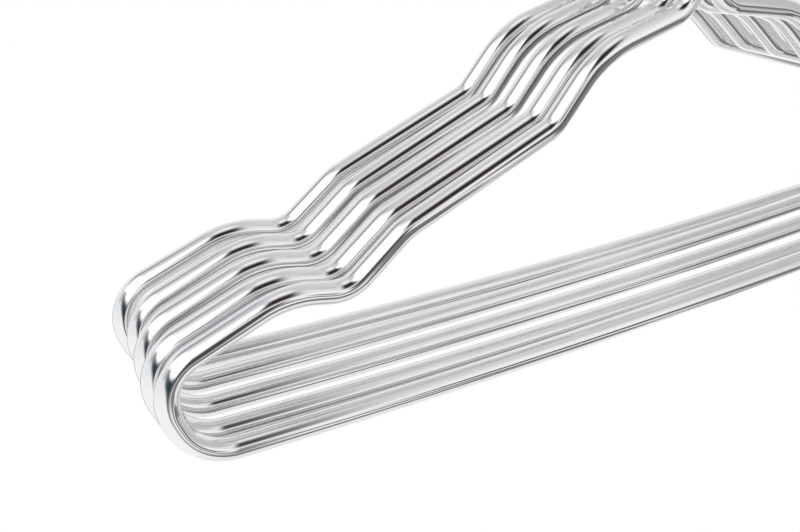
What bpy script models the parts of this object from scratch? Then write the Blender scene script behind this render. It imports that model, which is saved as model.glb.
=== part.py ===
"""Five alike polished steel clothes hangers, nested on one rail.

Metres, +Z up. X runs along the hangers' width and Y along the rail, with the first hanger at the back (+Y).
The origin is where the middle hanger's hook rests on the rail. Each hanger is a bent rod whose two ends
are tenons in a neck ferrule, under a hook that swivels on a washer inside the ferrule.
"""

import math

import bmesh
import bpy
from mathutils import Matrix, Vector

# Nest, from the back: the free space along the rail between necks, and how far each hanger rocks on the rail
NECK_GAPS = (0.0040, 0.0098, 0.0096, 0.0014)
HANG_TILTS_DEG = (0.0, 0.89, 0.81, 0.68, 1.33)

# Frame rod, from the neck outwards: how far each stretch runs and drops, and the bend at its outer end
ROD_RADIUS = 0.0040
LEG_GAP = 0.0010
NECK_BEND_RADIUS = 0.0120
TOP_RUN = 0.0383
TOP_DROP = 0.0088
TOP_BEND_RADIUS = 0.0380
UPPER_STEP_RUN = 0.0197
UPPER_STEP_DROP = 0.0208
UPPER_STEP_BEND_RADIUS = 0.0133
SHOULDER_RUN = 0.0574
SHOULDER_DROP = 0.0210
SHOULDER_BEND_RADIUS = 0.0235
LOWER_STEP_RUN = 0.0222
LOWER_STEP_DROP = 0.0160
NOTCH_BEND_RADIUS = 0.0140
NOTCH_RUN = 0.0205
NOTCH_RISE = 0.0052
LOBE_BEND_RADIUS = 0.0335
LOBE_RUN = 0.0474
LOBE_DROP = 0.0163
END_BEND_RADIUS = 0.0167
END_INSET = 0.0087
END_DROP = 0.0315
BAR_BEND_RADIUS = 0.0187
BAR_SAG = 0.0055

# Neck ferrule: an oval sleeve on the rod's two tenons, narrowing to a round boss above
FIT = 0.0003
TENON_RADIUS = 0.0026
FERRULE_WALL = 0.0009
SOCKET_DEPTH = 0.0120
TAPER_HEIGHT = 0.0036
BOSS_CHAMFER = 0.0008
PLATE_THICKNESS = 0.0035
LEG_CLEARANCE = 0.0006

# Hook and washer
HOOK_RADIUS = 0.0019
HOOK_INNER_RADIUS = 0.0200
HOOK_BEND_RADIUS = 0.0120
HOOK_TIP_DEG = 185.0
SHANK_LENGTH = 0.0100
HEAD_HEIGHT = 0.0024
HEAD_CLEARANCE = 0.0012
WASHER_THICKNESS = 0.0008

# Fineness of the solids
ARC_STEP_DEG = 18.0
LONGEST_CHORD = 0.0550
BEND_SHARE = 0.98
ROD_BEVEL_RESOLUTION = 4
HOOK_BEVEL_RESOLUTION = 2
RING_POINTS = 24
SHARP_ANGLE_DEG = 40.0
THICKNESS_STEP = 0.0002
TIP_PROFILE = ((0.5, 0.87), (0.87, 0.5))

# Places that follow from the sizes, measured in one hanger's own frame from its rail seat
HANGER_COUNT = len(HANG_TILTS_DEG)
LEG_X = ROD_RADIUS + LEG_GAP / 2
POCKET_RADIUS = TENON_RADIUS + FIT
SLEEVE_RADIUS = POCKET_RADIUS + FERRULE_WALL
HEAD_RADIUS = POCKET_RADIUS - FIT
BORE_RADIUS = HOOK_RADIUS + FIT
NECK_THICKNESS = 2 * max(SLEEVE_RADIUS, ROD_RADIUS)
LOOP_RADIUS = HOOK_INNER_RADIUS + HOOK_RADIUS
LOOP_Z = -HOOK_INNER_RADIUS
SHANK_TOP_Z = LOOP_Z - math.sqrt((HOOK_BEND_RADIUS + LOOP_RADIUS) ** 2 - HOOK_BEND_RADIUS ** 2)
FERRULE_TOP_Z = SHANK_TOP_Z - SHANK_LENGTH
PLATE_Z = FERRULE_TOP_Z - PLATE_THICKNESS
WASHER_TOP_Z = PLATE_Z - FIT
WASHER_BOTTOM_Z = WASHER_TOP_Z - WASHER_THICKNESS
HEAD_TOP_Z = WASHER_BOTTOM_Z - FIT
HEAD_BOTTOM_Z = HEAD_TOP_Z - HEAD_HEIGHT
ROD_END_Z = HEAD_BOTTOM_Z - HEAD_CLEARANCE
SOCKET_TOP_Z = ROD_END_Z + FIT
SLEEVE_TOP_Z = SOCKET_TOP_Z + FERRULE_WALL
FERRULE_BOTTOM_Z = ROD_END_Z - SOCKET_DEPTH
TENON_FOOT_Z = FERRULE_BOTTOM_Z - FIT
LEG_TOP_Z = TENON_FOOT_Z - THICKNESS_STEP
LEG_BOTTOM_Z = LEG_TOP_Z - LEG_CLEARANCE


def clear_scene():
    """Remove every object that the file starts with."""
    for found in list(bpy.data.objects):
        bpy.data.objects.remove(found, do_unlink=True)


def metal(name, colour, roughness):
    """Principled metal with one colour and roughness."""
    made = bpy.data.materials.new(name)
    made.use_nodes = True
    shader = made.node_tree.nodes["Principled BSDF"]
    shader.inputs["Base Color"].default_value = (*colour, 1.0)
    shader.inputs["Metallic"].default_value = 1.0
    shader.inputs["Roughness"].default_value = roughness
    return made


def arc_points(centre, radius, start, turn):
    """Points along an arc in the XZ plane, both ends included; turn is signed, in radians."""
    by_angle = abs(turn) / math.radians(ARC_STEP_DEG)
    by_length = abs(turn) * radius / LONGEST_CHORD
    steps = max(1, math.ceil(max(by_angle, by_length)))
    points = []
    for index in range(steps + 1):
        angle = start + turn * index / steps
        points.append(centre + radius * Vector((math.cos(angle), 0.0, math.sin(angle))))
    return points


def corner_turn(before, corner, after):
    """Signed angle that a path turns by at a corner, positive from X towards Z."""
    arriving = corner - before
    leaving = after - corner
    cross = arriving.x * leaving.z - arriving.z * leaving.x
    return math.atan2(cross, arriving.dot(leaving))


def bent_path(corners, radii):
    """Straight runs between corners, each inner corner rounded to its radius as far as its runs allow."""
    last = len(corners) - 1
    turns = [corner_turn(*corners[i - 1:i + 2]) for i in range(1, last)]
    setbacks = [0.0]
    setbacks += [radius * math.tan(abs(turn) / 2) for radius, turn in zip(radii, turns)]
    setbacks += [0.0]
    shares = []
    for i in range(last):
        room = BEND_SHARE * (corners[i + 1] - corners[i]).length
        shares.append(min(1.0, room / max(room, setbacks[i] + setbacks[i + 1])))
    points = [corners[0]]
    for i in range(1, last):
        turn = turns[i - 1]
        setback = setbacks[i] * min(shares[i - 1], shares[i])
        radius = setback / math.tan(abs(turn) / 2)
        arriving = (corners[i] - corners[i - 1]).normalized()
        side = math.copysign(1.0, turn)
        inward = side * Vector((-arriving.z, 0.0, arriving.x))
        centre = corners[i] - setback * arriving + radius * inward
        start = math.atan2(-inward.z, -inward.x)
        points += arc_points(centre, radius, start, turn)
    points.append(corners[-1])
    return points


def rail_places():
    """Where each hook sits along the rail, with the middle one at the origin."""
    places = [0.0]
    for gap in NECK_GAPS:
        places.append(places[-1] - NECK_THICKNESS - gap)
    middle = places[HANGER_COUNT // 2]
    return [place - middle for place in places]


def frame_path():
    """Centre line of the bent rod and its relative thickness, from the left tenon round to the right one."""
    stretches = (
        (TOP_RUN, TOP_DROP, TOP_BEND_RADIUS),
        (UPPER_STEP_RUN, UPPER_STEP_DROP, UPPER_STEP_BEND_RADIUS),
        (SHOULDER_RUN, SHOULDER_DROP, SHOULDER_BEND_RADIUS),
        (LOWER_STEP_RUN, LOWER_STEP_DROP, NOTCH_BEND_RADIUS),
        (NOTCH_RUN, -NOTCH_RISE, LOBE_BEND_RADIUS),
        (LOBE_RUN, LOBE_DROP, END_BEND_RADIUS),
        (-END_INSET, END_DROP, BAR_BEND_RADIUS),
    )
    neck_turn = math.pi / 2 - math.atan2(TOP_DROP, TOP_RUN)
    neck_z = LEG_BOTTOM_Z - NECK_BEND_RADIUS * math.tan(neck_turn / 2)
    left = [Vector((-LEG_X, 0.0, LEG_TOP_Z)), Vector((-LEG_X, 0.0, neck_z))]
    radii = [NECK_BEND_RADIUS]
    for run, drop, radius in stretches:
        left.append(left[-1] + Vector((-run, 0.0, -drop)))
        radii.append(radius)
    # The bar is one shallow arc that takes all of both runs up to the end bends
    half_bar = -left[-1].x
    bar_slope = math.atan2(2 * BAR_SAG, half_bar)
    middle = Vector((0.0, 0.0, left[-1].z - 2 * BAR_SAG))
    bar_radius = (half_bar - BAR_BEND_RADIUS) / math.tan(bar_slope)
    right = [Vector((-point.x, 0.0, point.z)) for point in reversed(left)]
    bent = bent_path(left + [middle] + right, radii + [bar_radius] + radii[::-1])
    tenon = [Vector((-LEG_X, 0.0, ROD_END_Z)), Vector((-LEG_X, 0.0, TENON_FOOT_Z))]
    far_tenon = [Vector((-point.x, 0.0, point.z)) for point in reversed(tenon)]
    tenon_thickness = [TENON_RADIUS / ROD_RADIUS] * len(tenon)
    return tenon + bent + far_tenon, tenon_thickness + [1.0] * len(bent) + tenon_thickness


def hook_path():
    """Centre line of the hook and its relative thickness, from the upset head up to the rounded tip."""
    head = [Vector((0.0, 0.0, HEAD_BOTTOM_Z)), Vector((0.0, 0.0, HEAD_TOP_Z))]
    shank = [Vector((0.0, 0.0, HEAD_TOP_Z + THICKNESS_STEP))]
    lean = math.asin(HOOK_BEND_RADIUS / (HOOK_BEND_RADIUS + LOOP_RADIUS))
    bend_centre = Vector((HOOK_BEND_RADIUS, 0.0, SHANK_TOP_Z))
    bend = arc_points(bend_centre, HOOK_BEND_RADIUS, math.pi, lean - math.pi / 2)
    loop_centre = Vector((0.0, 0.0, LOOP_Z))
    loop_start = lean - math.pi / 2
    loop = arc_points(loop_centre, LOOP_RADIUS, loop_start, math.radians(HOOK_TIP_DEG) - loop_start)
    ahead = (loop[-1] - loop[-2]).normalized()
    tip = [loop[-1] + share * HOOK_RADIUS * ahead for share, _ in TIP_PROFILE]
    points = head + shank + bend + loop[1:] + tip
    thickness = [HEAD_RADIUS / HOOK_RADIUS] * len(head)
    thickness += [1.0] * (len(points) - len(head) - len(tip))
    thickness += [scale for _, scale in TIP_PROFILE]
    return points, thickness


def rod_object(name, points, thickness, radius, resolution, finish):
    """Round rod along a path: a bevelled curve with filled ends."""
    curve = bpy.data.curves.new(name, "CURVE")
    curve.dimensions = "3D"
    curve.bevel_depth = radius
    curve.bevel_resolution = resolution
    curve.use_fill_caps = True
    spline = curve.splines.new("POLY")
    spline.points.add(len(points) - 1)
    for index, point in enumerate(points):
        spline.points[index].co = (*point, 1.0)
        spline.points[index].radius = thickness[index]
    curve.materials.append(finish)
    return link(name, curve)


def link(name, data):
    """Add an object to the scene."""
    made = bpy.data.objects.new(name, data)
    bpy.context.scene.collection.objects.link(made)
    return made


def ring(radius, z, half_length=0.0):
    """Points round a circle, or round an oval whose two half circles are half_length off centre."""
    points = []
    for index in range(RING_POINTS):
        angle = 2 * math.pi * (index + 0.5) / RING_POINTS
        offset = math.copysign(half_length, math.cos(angle))
        points.append(Vector((offset + radius * math.cos(angle), radius * math.sin(angle), z)))
    return points


def ring_solid(name, rings, finish):
    """Closed solid skinned over rings that go once round its wall."""
    mesh = bpy.data.meshes.new(name)
    work = bmesh.new()
    rows = [[work.verts.new(point) for point in points] for points in rings]
    for row, following in zip(rows, rows[1:] + rows[:1]):
        for index in range(RING_POINTS):
            beside = (index + 1) % RING_POINTS
            work.faces.new((row[index], row[beside], following[beside], following[index]))
    bmesh.ops.recalc_face_normals(work, faces=work.faces[:])
    work.to_mesh(mesh)
    work.free()
    mesh.shade_smooth()
    mesh.set_sharp_from_angle(angle=math.radians(SHARP_ANGLE_DEG))
    mesh.materials.append(finish)
    return link(name, mesh)


def ferrule(name, finish):
    """Oval sleeve for the two tenons, rising into a round boss with a chamber for the hook's head."""
    rings = (
        ring(POCKET_RADIUS, FERRULE_BOTTOM_Z, LEG_X),
        ring(SLEEVE_RADIUS, FERRULE_BOTTOM_Z, LEG_X),
        ring(SLEEVE_RADIUS, SLEEVE_TOP_Z, LEG_X),
        ring(SLEEVE_RADIUS, SLEEVE_TOP_Z + TAPER_HEIGHT),
        ring(SLEEVE_RADIUS, FERRULE_TOP_Z - BOSS_CHAMFER),
        ring(SLEEVE_RADIUS - BOSS_CHAMFER, FERRULE_TOP_Z),
        ring(BORE_RADIUS, FERRULE_TOP_Z),
        ring(BORE_RADIUS, PLATE_Z),
        ring(POCKET_RADIUS, PLATE_Z),
        ring(POCKET_RADIUS, SOCKET_TOP_Z),
        ring(POCKET_RADIUS, SOCKET_TOP_Z, LEG_X),
    )
    return ring_solid(name, rings, finish)


def washer(name, finish):
    """Flat ring round the shank, between the hook's head and the ferrule's top plate."""
    rings = (
        ring(HEAD_RADIUS, WASHER_BOTTOM_Z),
        ring(HEAD_RADIUS, WASHER_TOP_Z),
        ring(BORE_RADIUS, WASHER_TOP_Z),
        ring(BORE_RADIUS, WASHER_BOTTOM_Z),
    )
    return ring_solid(name, rings, finish)


def anchor(name, place):
    """Empty that carries pieces: its origin lies on the joint they move about."""
    made = link(name, None)
    made.matrix_basis = place
    return made


def hanger(number, finishes):
    """One hanger: its hook and washer on the rail, its frame and ferrule under the swivel."""
    y = rail_places()[number - 1]
    tilt = -math.radians(HANG_TILTS_DEG[number - 1])
    seat = anchor(f"rail_seat_{number}", Matrix.Translation((0.0, y, 0.0)) @ Matrix.Rotation(tilt, 4, "Y"))
    swivel = anchor(f"swivel_{number}", Matrix.Translation((0.0, 0.0, FERRULE_TOP_Z)))
    swivel.parent = seat
    hung = (
        rod_object(f"hook_{number}", *hook_path(), HOOK_RADIUS, HOOK_BEVEL_RESOLUTION, finishes["hook"]),
        washer(f"washer_{number}", finishes["washer"]),
    )
    turning = (
        rod_object(f"frame_{number}", *frame_path(), ROD_RADIUS, ROD_BEVEL_RESOLUTION, finishes["frame"]),
        ferrule(f"ferrule_{number}", finishes["ferrule"]),
    )
    for piece in hung:
        piece.parent = seat
    for piece in turning:
        piece.parent = swivel
        piece.location.z = -FERRULE_TOP_Z


def main():
    clear_scene()
    finishes = {
        "frame": metal("polished_frame", (0.80, 0.80, 0.81), 0.06),
        "ferrule": metal("polished_ferrule", (0.78, 0.78, 0.79), 0.10),
        "hook": metal("polished_hook", (0.80, 0.80, 0.81), 0.06),
        "washer": metal("plain_washer", (0.62, 0.61, 0.60), 0.30),
    }
    for number in range(1, HANGER_COUNT + 1):
        hanger(number, finishes)


main()
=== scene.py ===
"""Looks of the five nested polished hangers: finer rods, hooks, ferrules and washers over the CAD frame."""

import math

import bmesh
import bpy
from mathutils import Matrix, Vector


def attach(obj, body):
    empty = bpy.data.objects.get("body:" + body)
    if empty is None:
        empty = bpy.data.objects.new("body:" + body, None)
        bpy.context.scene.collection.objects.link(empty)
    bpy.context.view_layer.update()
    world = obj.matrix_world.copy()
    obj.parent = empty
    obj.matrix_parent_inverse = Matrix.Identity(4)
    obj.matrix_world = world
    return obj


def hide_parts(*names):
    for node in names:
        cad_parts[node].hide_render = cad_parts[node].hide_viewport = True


# Nest, from the back
NECK_GAPS = (0.0040, 0.0098, 0.0096, 0.0014)
HANG_TILTS_DEG = (0.0, 0.89, 0.81, 0.68, 1.33)
HANGER_COUNT = len(HANG_TILTS_DEG)

# Frame rod: run, drop and outer bend radius of each stretch, from the neck outwards
ROD_RADIUS = 0.0040
LEG_GAP = 0.0010
NECK_BEND_RADIUS = 0.0120
STRETCHES = (
    (0.0383, 0.0088, 0.0380),
    (0.0197, 0.0208, 0.0133),
    (0.0574, 0.0210, 0.0235),
    (0.0222, 0.0160, 0.0140),
    (0.0205, -0.0052, 0.0335),
    (0.0474, 0.0163, 0.0167),
    (-0.0087, 0.0315, 0.0187),
)
BAR_SAG = 0.0055

# Neck ferrule, hook and washer
FIT = 0.0003
TENON_RADIUS = 0.0026
FERRULE_WALL = 0.0009
SOCKET_DEPTH = 0.0120
TAPER_HEIGHT = 0.0036
BOSS_CHAMFER = 0.0008
PLATE_THICKNESS = 0.0035
LEG_CLEARANCE = 0.0006
HOOK_RADIUS = 0.0019
HOOK_INNER_RADIUS = 0.0200
HOOK_BEND_RADIUS = 0.0120
HOOK_TIP_DEG = 185.0
TIP_ROUND_DEG = 75.0
SHANK_LENGTH = 0.0100
HEAD_HEIGHT = 0.0024
HEAD_CLEARANCE = 0.0012
WASHER_THICKNESS = 0.0008
THICKNESS_STEP = 0.0002
EDGE_ROUND = 0.0003

# Fineness
ARC_STEP_DEG = 2.5
LONGEST_CHORD = 0.0050
BEND_SHARE = 0.98
ROD_SIDES = 64
HOOK_SIDES = 40
RING_POINTS = 96
ROUND_STEPS = 5
TAPER_STEPS = 8
SHARP_ANGLE_DEG = 40.0

# Where a quarter-round edge starts, seen in section, and how far it turns
FROM_BELOW_DEG = -90.0
FROM_SIDE_DEG = 0.0
QUARTER_DEG = 90.0

# Drawn this much thinner, so that the finer bends stay inside the box of the coarser solids
ROD_EASE = 0.00004
HOOK_EASE = 0.00011
ROD_DRAWN_RADIUS = ROD_RADIUS - ROD_EASE
HOOK_DRAWN_RADIUS = HOOK_RADIUS - HOOK_EASE

# Places that follow from the sizes, measured in one hanger's own frame from its rail seat
LEG_X = ROD_RADIUS + LEG_GAP / 2
POCKET_RADIUS = TENON_RADIUS + FIT
SLEEVE_RADIUS = POCKET_RADIUS + FERRULE_WALL
HEAD_RADIUS = POCKET_RADIUS - FIT
BORE_RADIUS = HOOK_RADIUS + FIT
WASHER_EASE = WASHER_THICKNESS / 4
NECK_THICKNESS = 2 * max(SLEEVE_RADIUS, ROD_RADIUS)
LOOP_RADIUS = HOOK_INNER_RADIUS + HOOK_RADIUS
LOOP_Z = -HOOK_INNER_RADIUS
SHANK_TOP_Z = LOOP_Z - math.sqrt((HOOK_BEND_RADIUS + LOOP_RADIUS) ** 2 - HOOK_BEND_RADIUS ** 2)
FERRULE_TOP_Z = SHANK_TOP_Z - SHANK_LENGTH
PLATE_Z = FERRULE_TOP_Z - PLATE_THICKNESS
WASHER_TOP_Z = PLATE_Z - FIT
WASHER_BOTTOM_Z = WASHER_TOP_Z - WASHER_THICKNESS
HEAD_TOP_Z = WASHER_BOTTOM_Z - FIT
HEAD_BOTTOM_Z = HEAD_TOP_Z - HEAD_HEIGHT
ROD_END_Z = HEAD_BOTTOM_Z - HEAD_CLEARANCE
SOCKET_TOP_Z = ROD_END_Z + FIT
SLEEVE_TOP_Z = SOCKET_TOP_Z + FERRULE_WALL
FERRULE_BOTTOM_Z = ROD_END_Z - SOCKET_DEPTH
TENON_FOOT_Z = FERRULE_BOTTOM_Z - FIT
LEG_TOP_Z = TENON_FOOT_Z - THICKNESS_STEP
LEG_BOTTOM_Z = LEG_TOP_Z - LEG_CLEARANCE

# Camera
CAMERA_PLACE = (-0.2163, -0.2747, -0.0359)
CAMERA_RIGHT = (0.9102, -0.4029, -0.0964)
CAMERA_UP = (0.2507, 0.3504, 0.9024)
CAMERA_BACK = (-0.3298, -0.8455, 0.4199)
SENSOR_WIDTH = 36.0
LENS = 39.93

# Floor: its shadow shows in the middle and fades out between two shares of the radius
FLOOR_Z = -0.62
FLOOR_RADIUS = 0.34
FLOOR_SIDES = 128
FLOOR_LEVEL = 0.9
FLOOR_FADE = (0.5, 0.95)
FLOOR_PLAIN_SHARE = 0.85

# Fine marks in the metal: each sets in between two levels of its noise
LINE_DETAIL = 3.0
LINE_ROUGHNESS = 0.6
LINE_LEVELS = (0.55, 0.80)
LINE_SHADE = 0.93
LINE_TINT = 0.5
RUB_SCALE = 90.0
RUB_DETAIL = 4.0
RUB_LEVELS = (0.45, 0.75)
SPECK_SCALE = 900.0
SPECK_DETAIL = 1.0
SPECK_LEVELS = (0.70, 0.78)
SPECK_WEAR = 4.0
BUMP_STRENGTH = 0.005
BUMP_DISTANCE = 0.00002

# Colour sockets of a mix node, which come after those for numbers and vectors
MIX_FIRST = 6
MIX_SECOND = 7
MIX_RESULT = 2

# Studio walls: their colours, and the rises between which one goes over into the next. All angles in the studio
# are in degrees: turn from straight in front of the nest, left positive, and rise from level
WALL_LOW = (1.10, 1.10, 1.10)
WALL_MIDDLE = (0.97, 0.97, 0.98)
WALL_HIGH = (0.70, 0.70, 0.72)
WALL_MIDDLE_FADE = (-25.0, 15.0)
WALL_HIGH_FADE = (22.0, 80.0)

# Lower edge of the left soft box: slope against turn, rise straight in front, highest rise
LEFT_BOX_EDGE = (0.75, -26.0, 28.0)
# Slanting lines on the right: slope against turn, lowest fall, lift
SLOT_LINE = (0.85, -47.0, 15.0)
FOOT_LINE = (0.95, -52.0, -1.5)
# Brown spot: turn and rise of its middle, half width, half height
BROWN_SPOT = (-18.0, -45.0, 24.0, 12.0)

# Patches on the walls, in the order they are laid: colour, then edges. An edge is what is measured, where the
# patch ends and where it is full, and then its shares there if they aren't 0 and 1
PATCHES = (
    # Greyer high up behind on the left
    ((0.45, 0.45, 0.47),
     ("turn", 100.0, 118.0), ("turn", 162.0, 146.0), ("rise", 28.0, 42.0), ("rise", 72.0, 60.0)),
    # Grey gap low down behind
    ((0.27, 0.27, 0.28),
     ("turn either way", 145.0, 158.0), ("rise", -44.0, -34.0), ("rise", -6.0, -16.0)),
    # Dark blue-grey shade under the left soft box
    ((0.028, 0.046, 0.060),
     ("over left edge", -17.0, -7.0), ("over left edge", 7.0, 1.0), ("turn", 2.0, 10.0), ("turn", 135.0, 30.0)),
    # Left soft box, whose lower edge climbs from the front to the side
    ((1.35, 1.35, 1.35),
     ("turn", 5.0, 14.0), ("turn", 130.0, 95.0), ("over left edge", 0.0, 8.0), ("rise", 70.0, 56.0)),
    # Right soft box, low
    ((1.12, 1.12, 1.09),
     ("turn", -4.0, -12.0), ("turn", -115.0, -75.0), ("rise", 30.0, 6.0)),
    # Greyer side at the right end of that box
    ((0.62, 0.62, 0.60),
     ("turn", -30.0, -52.0), ("turn", -94.0, -80.0), ("rise", 62.0, 45.0)),
    # Dark slot that slants down across it, weaker towards the side
    ((0.08, 0.08, 0.08),
     ("off slot", 9.0, 4.5, 0.0, 0.97), ("turn", -13.0, -22.0), ("turn", -110.0, -75.0),
     ("turn", -32.0, -52.0, 1.0, 0.75)),
    # Dark foot below the slot
    ((0.095, 0.090, 0.078),
     ("off foot", 7.5, 3.0, 0.0, 0.9), ("turn", -5.0, -12.0), ("turn", -120.0, -60.0)),
    # Brown spot low on the right
    ((0.25, 0.22, 0.21),
     ("off brown spot", 1.5, 0.4)),
)

# Ceiling in front: a brown lower edge, dark above it and pale at the top
CEILING_EDGES = (("rise", 15.0, 28.0), ("aside", 14.0, 6.0), ("aside", -20.0, -8.0))
CEILING_BROWN = (0.22, 0.15, 0.13)
CEILING_DARK = (0.030, 0.022, 0.024)
CEILING_PALE = (1.05, 1.05, 1.05)
CEILING_DARK_FADE = (20.0, 36.0)
CEILING_PALE_FADE = (49.0, 76.0)

# Dark gap straight in front, below the ceiling
GAP_EDGES = (("turn", 12.0, 5.0), ("turn", -13.0, -5.0), ("rise", 17.0, 6.0), ("rise", -46.0, -22.0))
GAP_DARK = (0.075, 0.070, 0.070)

WHITE = (1.0, 1.0, 1.0)


# ---- Paths -------------------------------------------------------------------------------------------------

def arc_points(centre, radius, start, turn):
    """Points along an arc in the XZ plane, both ends included; turn is signed, in radians."""
    by_angle = abs(turn) / math.radians(ARC_STEP_DEG)
    by_length = abs(turn) * radius / LONGEST_CHORD
    steps = max(1, math.ceil(max(by_angle, by_length)))
    points = []
    for index in range(steps + 1):
        angle = start + turn * index / steps
        points.append(centre + radius * Vector((math.cos(angle), 0.0, math.sin(angle))))
    return points


def corner_turn(before, corner, after):
    """Signed angle that a path turns by at a corner, positive from X towards Z."""
    arriving = corner - before
    leaving = after - corner
    cross = arriving.x * leaving.z - arriving.z * leaving.x
    return math.atan2(cross, arriving.dot(leaving))


def bent_path(corners, radii):
    """Straight runs between corners, each inner corner rounded to its radius as far as its runs allow."""
    last = len(corners) - 1
    turns = [corner_turn(*corners[i - 1:i + 2]) for i in range(1, last)]
    setbacks = [0.0]
    setbacks += [radius * math.tan(abs(turn) / 2) for radius, turn in zip(radii, turns)]
    setbacks += [0.0]
    shares = []
    for i in range(last):
        room = BEND_SHARE * (corners[i + 1] - corners[i]).length
        shares.append(min(1.0, room / max(room, setbacks[i] + setbacks[i + 1])))
    points = [corners[0]]
    for i in range(1, last):
        turn = turns[i - 1]
        setback = setbacks[i] * min(shares[i - 1], shares[i])
        radius = setback / math.tan(abs(turn) / 2)
        arriving = (corners[i] - corners[i - 1]).normalized()
        side = math.copysign(1.0, turn)
        inward = side * Vector((-arriving.z, 0.0, arriving.x))
        centre = corners[i] - setback * arriving + radius * inward
        start = math.atan2(-inward.z, -inward.x)
        points += arc_points(centre, radius, start, turn)
    points.append(corners[-1])
    return points


def rail_places():
    """Where each hook sits along the rail, with the middle one at the origin."""
    places = [0.0]
    for gap in NECK_GAPS:
        places.append(places[-1] - NECK_THICKNESS - gap)
    middle = places[HANGER_COUNT // 2]
    return [place - middle for place in places]


def frame_path():
    """Centre line of the bent rod and its radii, from the left tenon round to the right one."""
    neck_turn = math.pi / 2 - math.atan2(STRETCHES[0][1], STRETCHES[0][0])
    neck_z = LEG_BOTTOM_Z - NECK_BEND_RADIUS * math.tan(neck_turn / 2)
    left = [Vector((-LEG_X, 0.0, LEG_TOP_Z)), Vector((-LEG_X, 0.0, neck_z))]
    bends = [NECK_BEND_RADIUS]
    for run, drop, radius in STRETCHES:
        left.append(left[-1] + Vector((-run, 0.0, -drop)))
        bends.append(radius)
    half_bar = -left[-1].x
    bar_slope = math.atan2(2 * BAR_SAG, half_bar)
    middle = Vector((0.0, 0.0, left[-1].z - 2 * BAR_SAG))
    bar_radius = (half_bar - STRETCHES[-1][2]) / math.tan(bar_slope)
    right = [Vector((-point.x, 0.0, point.z)) for point in reversed(left)]
    bent = bent_path(left + [middle] + right, bends + [bar_radius] + bends[::-1])
    tenon = [Vector((-LEG_X, 0.0, ROD_END_Z)), Vector((-LEG_X, 0.0, TENON_FOOT_Z))]
    far_tenon = [Vector((-point.x, 0.0, point.z)) for point in reversed(tenon)]
    tenon_radii = [TENON_RADIUS] * len(tenon)
    radii = tenon_radii + [ROD_DRAWN_RADIUS] * len(bent) + tenon_radii
    return tenon + bent + far_tenon, radii


def hook_path():
    """Centre line of the hook and its radii, from the upset head up to the rounded tip."""
    head = [Vector((0.0, 0.0, HEAD_BOTTOM_Z)), Vector((0.0, 0.0, HEAD_TOP_Z))]
    shank = [Vector((0.0, 0.0, HEAD_TOP_Z + THICKNESS_STEP))]
    lean = math.asin(HOOK_BEND_RADIUS / (HOOK_BEND_RADIUS + LOOP_RADIUS))
    bend_centre = Vector((HOOK_BEND_RADIUS, 0.0, SHANK_TOP_Z))
    bend = arc_points(bend_centre, HOOK_BEND_RADIUS, math.pi, lean - math.pi / 2)
    loop_centre = Vector((0.0, 0.0, LOOP_Z))
    loop_start = lean - math.pi / 2
    loop = arc_points(loop_centre, LOOP_RADIUS, loop_start, math.radians(HOOK_TIP_DEG) - loop_start)
    ahead = (loop[-1] - loop[-2]).normalized()
    angles = [math.radians(TIP_ROUND_DEG) * step / ROUND_STEPS for step in range(1, ROUND_STEPS + 1)]
    tip = [loop[-1] + math.sin(angle) * HOOK_RADIUS * ahead for angle in angles]
    points = head + shank + bend + loop[1:] + tip
    radii = [HEAD_RADIUS] * len(head)
    radii += [HOOK_DRAWN_RADIUS] * (len(points) - len(head) - len(tip))
    radii += [HOOK_DRAWN_RADIUS * math.cos(angle) for angle in angles]
    return points, radii


# ---- Meshes ------------------------------------------------------------------------------------------------

def mesh_object(name, work, place, finish):
    """Finish a bmesh in one hanger's frame, put it in its place and link it."""
    bmesh.ops.recalc_face_normals(work, faces=work.faces[:])
    work.transform(place)
    mesh = bpy.data.meshes.new(name)
    work.to_mesh(mesh)
    work.free()
    mesh.shade_smooth()
    mesh.set_sharp_from_angle(angle=math.radians(SHARP_ANGLE_DEG))
    mesh.materials.append(finish)
    made = bpy.data.objects.new(name, mesh)
    bpy.context.scene.collection.objects.link(made)
    return made


def skin(work, rows, lengths, closed):
    """Quads between rows of vertices, with a UV map of turn round the row against length along it."""
    layer = work.loops.layers.uv.new("UVMap")
    count = len(rows[0])
    pairs = list(zip(range(len(rows)), range(1, len(rows))))
    if closed:
        pairs.append((len(rows) - 1, 0))
    for lower, upper in pairs:
        for index in range(count):
            beside = (index + 1) % count
            face = work.faces.new((
                rows[lower][index], rows[lower][beside], rows[upper][beside], rows[upper][index]))
            turns = (index, index + 1, index + 1, index)
            along = (lengths[lower], lengths[lower], lengths[upper], lengths[upper])
            for loop, turn, length in zip(face.loops, turns, along):
                loop[layer].uv = (turn / count, length)


def rod(name, points, radii, sides, place, finish):
    """Round rod along a path in the XZ plane, closed at both ends."""
    work = bmesh.new()
    rows = []
    lengths = [0.0]
    for index, point in enumerate(points):
        before = points[max(index - 1, 0)]
        after = points[min(index + 1, len(points) - 1)]
        into = (point - before).normalized()
        out_of = (after - point).normalized()
        along = (into + out_of).normalized()
        normal = Vector((-along.z, 0.0, along.x))
        row = []
        for side in range(sides):
            angle = 2 * math.pi * side / sides
            outward = math.cos(angle) * normal + math.sin(angle) * Vector((0.0, 1.0, 0.0))
            row.append(work.verts.new(point + radii[index] * outward))
        rows.append(row)
        if index:
            lengths.append(lengths[-1] + (point - before).length)
    skin(work, rows, lengths, closed=False)
    work.faces.new(rows[0])
    work.faces.new(rows[-1])
    return mesh_object(name, work, place, finish)


def ring(radius, z, half_length=0.0):
    """Points round a circle, or round an oval whose two half circles are half_length off centre."""
    points = []
    for index in range(RING_POINTS):
        angle = 2 * math.pi * (index + 0.5) / RING_POINTS
        offset = math.copysign(half_length, math.cos(angle))
        points.append(Vector((offset + radius * math.cos(angle), radius * math.sin(angle), z)))
    return points


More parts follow.
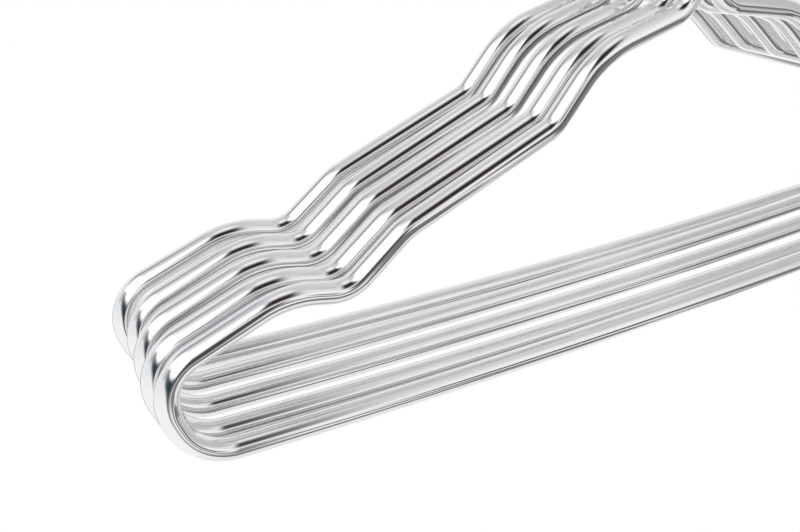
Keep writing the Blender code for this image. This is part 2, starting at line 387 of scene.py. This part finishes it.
def rounded(radius, z, amount, start_deg, half_length=0.0):
    """Rings round a quarter-round edge whose arc centre is at the radius and height given."""
    rings = []
    for step in range(ROUND_STEPS + 1):
        angle = math.radians(start_deg + QUARTER_DEG * step / ROUND_STEPS)
        rings.append(ring(radius + amount * math.cos(angle), z + amount * math.sin(angle), half_length))
    return rings


def ring_solid(name, rings, place, finish):
    """Closed solid skinned over rings that go once round its wall."""
    work = bmesh.new()
    rows = [[work.verts.new(point) for point in points] for points in rings]
    skin(work, rows, [points[0].z for points in rings], closed=True)
    return mesh_object(name, work, place, finish)


def ferrule(name, place, finish):
    """Oval sleeve for the two tenons, rising smoothly into a round boss with a chamber for the hook's head."""
    rings = [ring(POCKET_RADIUS, FERRULE_BOTTOM_Z, LEG_X)]
    rings += rounded(
        SLEEVE_RADIUS - EDGE_ROUND, FERRULE_BOTTOM_Z + EDGE_ROUND, EDGE_ROUND, FROM_BELOW_DEG, LEG_X)
    for step in range(TAPER_STEPS + 1):
        share = step / TAPER_STEPS
        eased = 0.5 + 0.5 * math.cos(math.pi * share)
        rings.append(ring(SLEEVE_RADIUS, SLEEVE_TOP_Z + share * TAPER_HEIGHT, LEG_X * eased))
    rings += rounded(SLEEVE_RADIUS - BOSS_CHAMFER, FERRULE_TOP_Z - BOSS_CHAMFER, BOSS_CHAMFER, FROM_SIDE_DEG)
    rings += [
        ring(BORE_RADIUS, FERRULE_TOP_Z),
        ring(BORE_RADIUS, PLATE_Z),
        ring(POCKET_RADIUS, PLATE_Z),
        ring(POCKET_RADIUS, SOCKET_TOP_Z),
        ring(POCKET_RADIUS, SOCKET_TOP_Z, LEG_X),
    ]
    return ring_solid(name, rings, place, finish)


def washer(name, place, finish):
    """Flat ring round the shank with its outer edges eased."""
    edge_radius = HEAD_RADIUS - WASHER_EASE
    rings = rounded(edge_radius, WASHER_BOTTOM_Z + WASHER_EASE, WASHER_EASE, FROM_BELOW_DEG)
    rings += rounded(edge_radius, WASHER_TOP_Z - WASHER_EASE, WASHER_EASE, FROM_SIDE_DEG)
    rings += [ring(BORE_RADIUS, WASHER_TOP_Z), ring(BORE_RADIUS, WASHER_BOTTOM_Z)]
    return ring_solid(name, rings, place, finish)


# ---- Materials ---------------------------------------------------------------------------------------------

def opaque(colour):
    """Colour with full alpha."""
    return (*colour, 1.0)


class Tree:
    """Short names for building a shader tree."""

    def __init__(self, tree):
        self.nodes = tree.nodes
        self.links = tree.links

    def add(self, kind, inputs=(), **settings):
        """New node; inputs are (socket, value or output socket) pairs."""
        node = self.nodes.new(kind)
        for name, value in settings.items():
            setattr(node, name, value)
        for socket, value in inputs:
            if isinstance(value, bpy.types.NodeSocket):
                self.links.new(value, node.inputs[socket])
            else:
                node.inputs[socket].default_value = value
        return node

    def math(self, operation, first, second=0.0):
        """Sum on one or two numbers."""
        return self.add("ShaderNodeMath", ((0, first), (1, second)), operation=operation).outputs[0]

    def ramp(self, value, low, high, at_low=0.0, at_high=1.0):
        """Smooth change from at_low to at_high as the value goes from low to high."""
        pairs = (
            ("Value", value), ("From Min", low), ("From Max", high), ("To Min", at_low), ("To Max", at_high))
        return self.add("ShaderNodeMapRange", pairs, interpolation_type="SMOOTHSTEP").outputs["Result"]

    def mix(self, share, first, second):
        """Colour mix."""
        pairs = (("Factor", share), (MIX_FIRST, first), (MIX_SECOND, second))
        return self.add("ShaderNodeMix", pairs, data_type="RGBA").outputs[MIX_RESULT]


def polished(name, colour, roughness, lines_round, lines_along, wear):
    """Polished metal with fine lines along or round the piece, and faint rubbed patches."""
    made = bpy.data.materials.new(name)
    made.use_nodes = True
    tree = Tree(made.node_tree)
    shader = tree.nodes["Principled BSDF"]
    place = tree.add("ShaderNodeUVMap", uv_map="UVMap").outputs["UV"]
    stretch = (("Vector", place), ("Scale", (lines_round, lines_along, 1.0)))
    stretched = tree.add("ShaderNodeMapping", stretch).outputs["Vector"]
    lines = tree.add("ShaderNodeTexNoise", (
        ("Vector", stretched), ("Scale", 1.0),
        ("Detail", LINE_DETAIL), ("Roughness", LINE_ROUGHNESS))).outputs[0]
    spot = tree.add("ShaderNodeTexCoord").outputs["Object"]
    patches = tree.add(
        "ShaderNodeTexNoise", (("Vector", spot), ("Scale", RUB_SCALE), ("Detail", RUB_DETAIL))).outputs[0]
    specks = tree.add(
        "ShaderNodeTexNoise", (("Vector", spot), ("Scale", SPECK_SCALE), ("Detail", SPECK_DETAIL))).outputs[0]
    rubbed = tree.ramp(patches, *RUB_LEVELS, 0.0, wear)
    fleck = tree.ramp(specks, *SPECK_LEVELS, 0.0, SPECK_WEAR * wear)
    scored = tree.ramp(lines, *LINE_LEVELS, 0.0, wear)
    rough = tree.math("ADD", tree.math("ADD", rubbed, scored), tree.math("ADD", fleck, roughness))
    darker = tuple(LINE_SHADE * part for part in colour)
    tint = tree.mix(tree.math("MULTIPLY", scored, LINE_TINT / wear), opaque(colour), opaque(darker))
    bump = tree.add("ShaderNodeBump", (
        ("Strength", BUMP_STRENGTH), ("Distance", BUMP_DISTANCE), ("Height", lines)))
    tree.links.new(tint, shader.inputs["Base Color"])
    tree.links.new(rough, shader.inputs["Roughness"])
    tree.links.new(bump.outputs["Normal"], shader.inputs["Normal"])
    shader.inputs["Metallic"].default_value = 1.0
    return made


def floor_material():
    """Pale floor: white to the camera and in reflections, with a share that keeps the shadow."""
    made = bpy.data.materials.new("pale_floor")
    made.use_nodes = True
    tree = Tree(made.node_tree)
    tree.nodes.remove(tree.nodes["Principled BSDF"])
    spot = tree.add("ShaderNodeTexCoord").outputs["Object"]
    reach = tree.add("ShaderNodeVectorMath", ((0, spot),), operation="LENGTH").outputs["Value"]
    rays = tree.add("ShaderNodeLightPath").outputs
    seen = tree.math("MAXIMUM", rays["Is Camera Ray"], rays["Is Glossy Ray"])
    seen = tree.math("MAXIMUM", seen, rays["Is Transmission Ray"])
    fade = [share * FLOOR_RADIUS for share in FLOOR_FADE]
    plain = tree.ramp(reach, *fade, FLOOR_PLAIN_SHARE, 1.0)
    pale = opaque((FLOOR_LEVEL,) * 3)
    diffuse = tree.add("ShaderNodeBsdfDiffuse", (("Color", pale),)).outputs[0]
    glow = tree.add("ShaderNodeEmission", (("Color", opaque(WHITE)), ("Strength", 1.0))).outputs[0]
    share = tree.math("MULTIPLY", seen, plain)
    shown = tree.add("ShaderNodeMixShader", ((0, share), (1, diffuse), (2, glow)))
    tree.links.new(shown.outputs[0], tree.nodes["Material Output"].inputs["Surface"])
    return made


# ---- Studio ------------------------------------------------------------------------------------------------

def patch_share(tree, places, edges):
    """How much of a patch is there: the product of its edges."""
    share = 1.0
    for measured, *limits in edges:
        share = tree.math("MULTIPLY", share, tree.ramp(places[measured], *limits))
    return share


def over_edge(tree, turn, rise, slope, start, highest):
    """Rise above an edge that climbs to the left and then runs level."""
    edge = tree.math("MINIMUM", tree.math("ADD", tree.math("MULTIPLY", turn, slope), start), highest)
    return tree.math("SUBTRACT", rise, edge)


def off_line(tree, turn, rise, slope, lowest, lift):
    """Distance up or down from a line that falls to the right and then runs level."""
    line = tree.math("ADD", tree.math("MAXIMUM", tree.math("MULTIPLY", turn, slope), lowest), lift)
    return tree.math("ABSOLUTE", tree.math("SUBTRACT", rise, line))


def off_spot(tree, turn, rise, middle_turn, middle_rise, half_width, half_height):
    """Squared distance from the middle of an oval spot, where 1 is its rim."""
    across = tree.math("DIVIDE", tree.math("SUBTRACT", turn, middle_turn), half_width)
    upward = tree.math("DIVIDE", tree.math("SUBTRACT", rise, middle_rise), half_height)
    return tree.math("ADD", tree.math("POWER", across, 2.0), tree.math("POWER", upward, 2.0))


def studio():
    """Pale walls with soft boxes left and right, dark gaps and a dark ceiling; white to the camera."""
    world = bpy.data.worlds.new("studio")
    bpy.context.scene.world = world
    world.use_nodes = True
    tree = Tree(world.node_tree)
    background = tree.nodes["Background"]
    heading = tree.add("ShaderNodeTexCoord").outputs["Generated"]
    x, y, z = tree.add("ShaderNodeSeparateXYZ", ((0, heading),)).outputs
    rise = tree.math("DEGREES", tree.math("ARCSINE", z))
    leftward = tree.math("MULTIPLY", x, -1.0)
    forward = tree.math("MULTIPLY", y, -1.0)
    turn = tree.math("DEGREES", tree.math("ARCTAN2", leftward, forward))
    places = {
        "turn": turn,
        "turn either way": tree.math("ABSOLUTE", turn),
        "rise": rise,
        "over left edge": over_edge(tree, turn, rise, *LEFT_BOX_EDGE),
        "off slot": off_line(tree, turn, rise, *SLOT_LINE),
        "off foot": off_line(tree, turn, rise, *FOOT_LINE),
        "off brown spot": off_spot(tree, turn, rise, *BROWN_SPOT),
        "aside": tree.math("MULTIPLY", turn, tree.math("COSINE", tree.math("RADIANS", rise))),
    }

    sky = tree.mix(tree.ramp(rise, *WALL_MIDDLE_FADE), opaque(WALL_LOW), opaque(WALL_MIDDLE))
    sky = tree.mix(tree.ramp(rise, *WALL_HIGH_FADE), sky, opaque(WALL_HIGH))
    for colour, *edges in PATCHES:
        sky = tree.mix(patch_share(tree, places, edges), sky, opaque(colour))
    ceiling = tree.mix(tree.ramp(rise, *CEILING_DARK_FADE), opaque(CEILING_BROWN), opaque(CEILING_DARK))
    ceiling = tree.mix(tree.ramp(rise, *CEILING_PALE_FADE), ceiling, opaque(CEILING_PALE))
    sky = tree.mix(patch_share(tree, places, CEILING_EDGES), sky, ceiling)
    sky = tree.mix(patch_share(tree, places, GAP_EDGES), sky, opaque(GAP_DARK))

    shown = tree.mix(tree.add("ShaderNodeLightPath").outputs["Is Camera Ray"], sky, opaque(WHITE))
    tree.links.new(shown, background.inputs["Color"])
    background.inputs["Strength"].default_value = 1.0


def floor():
    """Round floor well below the nest."""
    work = bmesh.new()
    bmesh.ops.create_circle(work, cap_ends=True, segments=FLOOR_SIDES, radius=FLOOR_RADIUS)
    made = mesh_object("floor", work, Matrix.Identity(4), floor_material())
    made.location.z = FLOOR_Z
    return made


def camera():
    """Camera from the front left, above the nest's middle."""
    data = bpy.data.cameras.new("camera")
    data.sensor_width = SENSOR_WIDTH
    data.lens = LENS
    made = bpy.data.objects.new("camera", data)
    bpy.context.scene.collection.objects.link(made)
    turn = Matrix((CAMERA_RIGHT, CAMERA_UP, CAMERA_BACK)).transposed().to_4x4()
    made.matrix_world = Matrix.Translation(CAMERA_PLACE) @ turn
    bpy.context.scene.camera = made


# ---- Hangers -----------------------------------------------------------------------------------------------

def hanger(number, finishes):
    """Finer pieces for one hanger, each in place of its CAD node and on the same body."""
    tilt = -math.radians(HANG_TILTS_DEG[number - 1])
    seat = Matrix.Translation((0.0, rail_places()[number - 1], 0.0)) @ Matrix.Rotation(tilt, 4, "Y")
    made = (
        ("frame", "frame_body", rod(f"bent_rod_{number}", *frame_path(), ROD_SIDES, seat, finishes["frame"])),
        ("ferrule", "frame_body", ferrule(f"neck_ferrule_{number}", seat, finishes["ferrule"])),
        ("hook", "hook_body", rod(f"swivel_hook_{number}", *hook_path(), HOOK_SIDES, seat, finishes["hook"])),
        ("washer", "hook_body", washer(f"thrust_washer_{number}", seat, finishes["washer"])),
    )
    for node, body, piece in made:
        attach(piece, f"{body}_{number}")
        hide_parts(f"{node}_{number}")


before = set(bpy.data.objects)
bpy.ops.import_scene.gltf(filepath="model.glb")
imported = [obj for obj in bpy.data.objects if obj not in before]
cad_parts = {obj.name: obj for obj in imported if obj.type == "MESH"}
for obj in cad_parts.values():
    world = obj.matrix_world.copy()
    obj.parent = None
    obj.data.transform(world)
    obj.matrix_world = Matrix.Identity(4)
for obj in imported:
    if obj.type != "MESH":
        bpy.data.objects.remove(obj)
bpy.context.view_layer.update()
finishes = {
    "frame": polished(
        "polished_frame_look", colour=(0.80, 0.80, 0.81), roughness=0.085,
        lines_round=48.0, lines_along=6.0, wear=0.010),
    "ferrule": polished(
        "polished_ferrule_look", colour=(0.78, 0.78, 0.79), roughness=0.07,
        lines_round=6.0, lines_along=4000.0, wear=0.03),
    "hook": polished(
        "polished_hook_look", colour=(0.80, 0.80, 0.81), roughness=0.060,
        lines_round=90.0, lines_along=12.0, wear=0.020),
    "washer": polished(
        "plain_washer_look", colour=(0.62, 0.61, 0.60), roughness=0.28,
        lines_round=12.0, lines_along=6000.0, wear=0.08),
}
for number in range(1, HANGER_COUNT + 1):
    hanger(number, finishes)
floor()
studio()
camera()
bpy.context.scene.view_settings.view_transform = "Standard"
